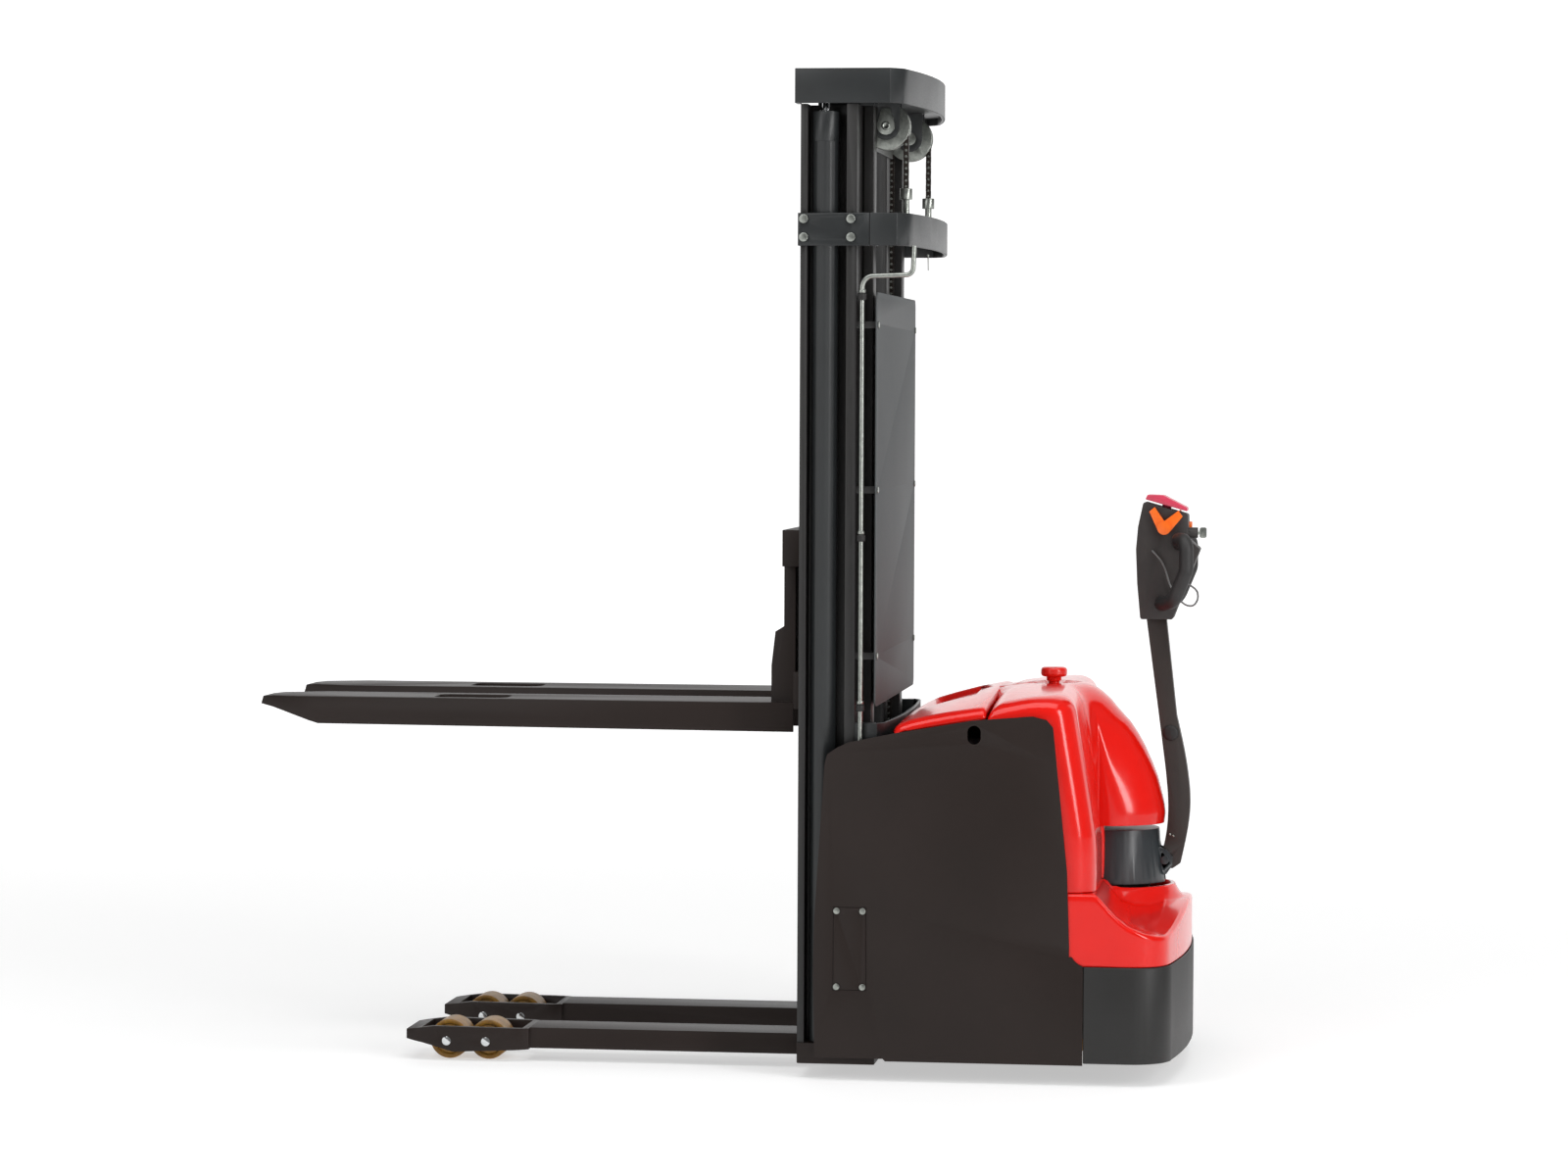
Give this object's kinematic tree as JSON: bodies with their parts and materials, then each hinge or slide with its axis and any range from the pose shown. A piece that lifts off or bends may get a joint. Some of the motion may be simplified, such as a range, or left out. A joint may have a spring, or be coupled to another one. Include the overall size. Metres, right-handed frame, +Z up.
{
  "type": "electric walkie stacker",
  "caption": "Pedestrian electric stacker: forks on a telescoping mast, battery and drive under moulded covers, steering tiller and low support legs.",
  "frame": {"origin": "on the floor under the middle of the whole truck", "axes": "+Z up; forks point to -X; the tiller end is +X; +Y is the truck's left seen from the tiller facing the forks' back"},
  "size_m": [1.963, 0.856, 2.047],
  "materials": {
    "chassis_black": "satin powder coat, brown-black",
    "mast_black": "semi-matt paint over rolled steel",
    "guard_grey": "matt powder coat",
    "cover_red": "gloss moulded cover",
    "bumper_grey": "fine-grain moulded bumper",
    "cone_grey": "satin moulded cover",
    "zinc_steel": "zinc-plated",
    "ground_steel": "hard-chromed rod",
    "chain_steel": "oiled black",
    "polyurethane": "amber tread",
    "cast_core": "machined casting",
    "battery_case": "coated steel tray",
    "motor_paint": "black motor paint",
    "head_plastic": "fine-grain moulded",
    "grip_rubber": "soft moulded grip",
    "belly_red": "moulded cap",
    "knob_orange": "moulded knob",
    "stop_red": "moulded mushroom head",
    "lead_grey": "PVC sheath",
    "arm_black": "satin powder coat"
  },
  "bodies": {
    "chassis": {"chassis_frame": "chassis_black", "side_panel_right": "chassis_black", "side_panel_left": "chassis_black", "cover_screws": "zinc_steel", "rear_apron": "bumper_grey", "lower_cover": "cover_red", "hood": "cover_red", "battery": "battery_case", "hydraulic_power_pack": "motor_paint", "slewing_bearing": "ground_steel", "outrigger_left": "chassis_black", "outrigger_right": "chassis_black", "load_wheel_axles": "ground_steel", "outer_rails": "mast_black", "mast_collar": "mast_black", "lower_mast_tie": "mast_black", "cylinder_clamps": "mast_black", "collar_bolts": "zinc_steel", "lift_cylinder_barrels": "mast_black", "mast_guard": "guard_grey", "chain_anchors": "zinc_steel", "hydraulic_pipe": "zinc_steel", "mast_chain_rear_runs": "chain_steel"},
    "middle_stage": {"middle_mast": "mast_black", "top_beam": "mast_black", "lift_cylinder_rods": "ground_steel", "pulley_keepers": "zinc_steel", "middle_mast_rollers": "cast_core", "mast_chain_front_runs": "chain_steel"},
    "mast_pulleys": {"chain_pulleys": "zinc_steel"},
    "inner_stage": {"inner_mast": "mast_black", "inner_mast_rollers": "cast_core", "free_lift_barrel": "mast_black", "free_lift_chain_rear_runs": "chain_steel"},
    "free_lift_head": {"crosshead": "ground_steel", "free_lift_chain_front_runs": "chain_steel"},
    "free_lift_wheels": {"free_lift_sheaves": "cast_core"},
    "fork_carriage": {"carriage_frame": "chassis_black", "carriage_rollers": "cast_core", "fork_left": "chassis_black", "fork_right": "chassis_black"},
    "wheel_left_front": {"load_wheel_left_front": "polyurethane"},
    "wheel_left_rear": {"load_wheel_left_rear": "polyurethane"},
    "wheel_right_front": {"load_wheel_right_front": "polyurethane"},
    "wheel_right_rear": {"load_wheel_right_rear": "polyurethane"},
    "drive_unit": {"drive_gearbox": "cast_core", "traction_motor": "motor_paint", "steering_cone": "cone_grey"},
    "drive_wheel": {"drive_wheel_hub": "cast_core", "drive_wheel_tread": "polyurethane"},
    "tiller": {"tiller_arm": "arm_black", "tiller_head": "head_plastic", "tiller_grips": "grip_rubber", "head_lead": "lead_grey"},
    "belly_button": {"belly_switch": "belly_red"},
    "travel_knob": {"butterfly_knob": "knob_orange"},
    "horn": {"horn_button": "knob_orange"},
    "key": {"ignition_key": "zinc_steel"},
    "battery_lid": {"front_lid": "cover_red"},
    "emergency_stop": {"estop_button": "stop_red"}
  },
  "joints": [
    {"name": "mast_lift", "type": "slide", "parent": "chassis", "child": "middle_stage", "axis": [0, 0, 1], "range_m": [0, 1.25], "deforming": ["mast_chain_rear_runs"]},
    {"name": "inner_lift", "type": "slide", "parent": "middle_stage", "child": "inner_stage", "axis": [0, 0, 1], "range_m": [0, 1.25], "deforming": ["mast_chain_front_runs"]},
    {"name": "mast_pulley_spin", "type": "hinge", "parent": "middle_stage", "child": "mast_pulleys", "pos_m": [0.3305, 0, 1.939], "axis": [0, 1, 0], "continuous": true},
    {"name": "free_lift", "type": "slide", "parent": "inner_stage", "child": "free_lift_head", "axis": [0, 0, 1], "range_m": [-0.33, 0.35], "deforming": ["free_lift_chain_rear_runs"]},
    {"name": "free_lift_wheel_spin", "type": "hinge", "parent": "free_lift_head", "child": "free_lift_wheels", "pos_m": [0.2535, 0, 1.48], "axis": [0, 1, 0], "continuous": true},
    {"name": "carriage_lift", "type": "slide", "parent": "free_lift_head", "child": "fork_carriage", "axis": [0, 0, 1], "range_m": [-0.33, 0.35], "deforming": ["free_lift_chain_front_runs"]},
    {"name": "steering", "type": "hinge", "parent": "chassis", "child": "drive_unit", "pos_m": [0.7915, 0, 0.3], "axis": [0, 0, 1], "range_deg": [-80, 80]},
    {"name": "drive_wheel_spin", "type": "hinge", "parent": "drive_unit", "child": "drive_wheel", "pos_m": [0.7915, 0, 0.12], "axis": [0, 1, 0], "continuous": true},
    {"name": "tiller_tilt", "type": "hinge", "parent": "drive_unit", "child": "tiller", "pos_m": [0.8995, 0, 0.421], "axis": [0, 1, 0], "range_deg": [0, 75], "stiffness_Nm_per_rad": 22, "springref_deg": -20.05},
    {"name": "belly_switch_press", "type": "slide", "parent": "tiller", "child": "belly_button", "axis": [-0.272, 0, -0.9623], "range_m": [0, 0.005], "stiffness_N_per_m": 1500, "springref_m": -0.002},
    {"name": "travel_knob_turn", "type": "hinge", "parent": "tiller", "child": "travel_knob", "pos_m": [0.8945, 0, 1.116], "axis": [0, 1, 0], "range_deg": [-20, 20], "stiffness_Nm_per_rad": 1.5},
    {"name": "horn_press", "type": "slide", "parent": "tiller", "child": "horn", "axis": [-1, 0, 0], "range_m": [0, 0.003], "stiffness_N_per_m": 300, "springref_m": -0.001},
    {"name": "key_turn", "type": "hinge", "parent": "tiller", "child": "key", "pos_m": [0.9615, -0.028, 1.106], "axis": [1, 0, 0], "range_deg": [0, 90]},
    {"name": "lid_hinge", "type": "hinge", "parent": "chassis", "child": "battery_lid", "pos_m": [0.3735, 0, 0.712], "axis": [0, -1, 0], "range_deg": [0, 75]},
    {"name": "emergency_stop_press", "type": "slide", "parent": "chassis", "child": "emergency_stop", "axis": [0, 0, -1], "range_m": [0, 0.006]},
    {"name": "wheel_left_front_spin", "type": "hinge", "parent": "chassis", "child": "wheel_left_front", "pos_m": [-0.58, 0.195, 0.041], "axis": [0, 1, 0], "continuous": true},
    {"name": "wheel_left_rear_spin", "type": "hinge", "parent": "chassis", "child": "wheel_left_rear", "pos_m": [-0.497, 0.195, 0.041], "axis": [0, 1, 0], "continuous": true},
    {"name": "wheel_right_front_spin", "type": "hinge", "parent": "chassis", "child": "wheel_right_front", "pos_m": [-0.58, -0.195, 0.041], "axis": [0, 1, 0], "continuous": true},
    {"name": "wheel_right_rear_spin", "type": "hinge", "parent": "chassis", "child": "wheel_right_rear", "pos_m": [-0.497, -0.195, 0.041], "axis": [0, 1, 0], "continuous": true}
  ],
  "couplings": [
    {"joint": "inner_lift", "follows": "mast_lift", "ratio": 1},
    {"joint": "carriage_lift", "follows": "free_lift", "ratio": 1}
  ]
}
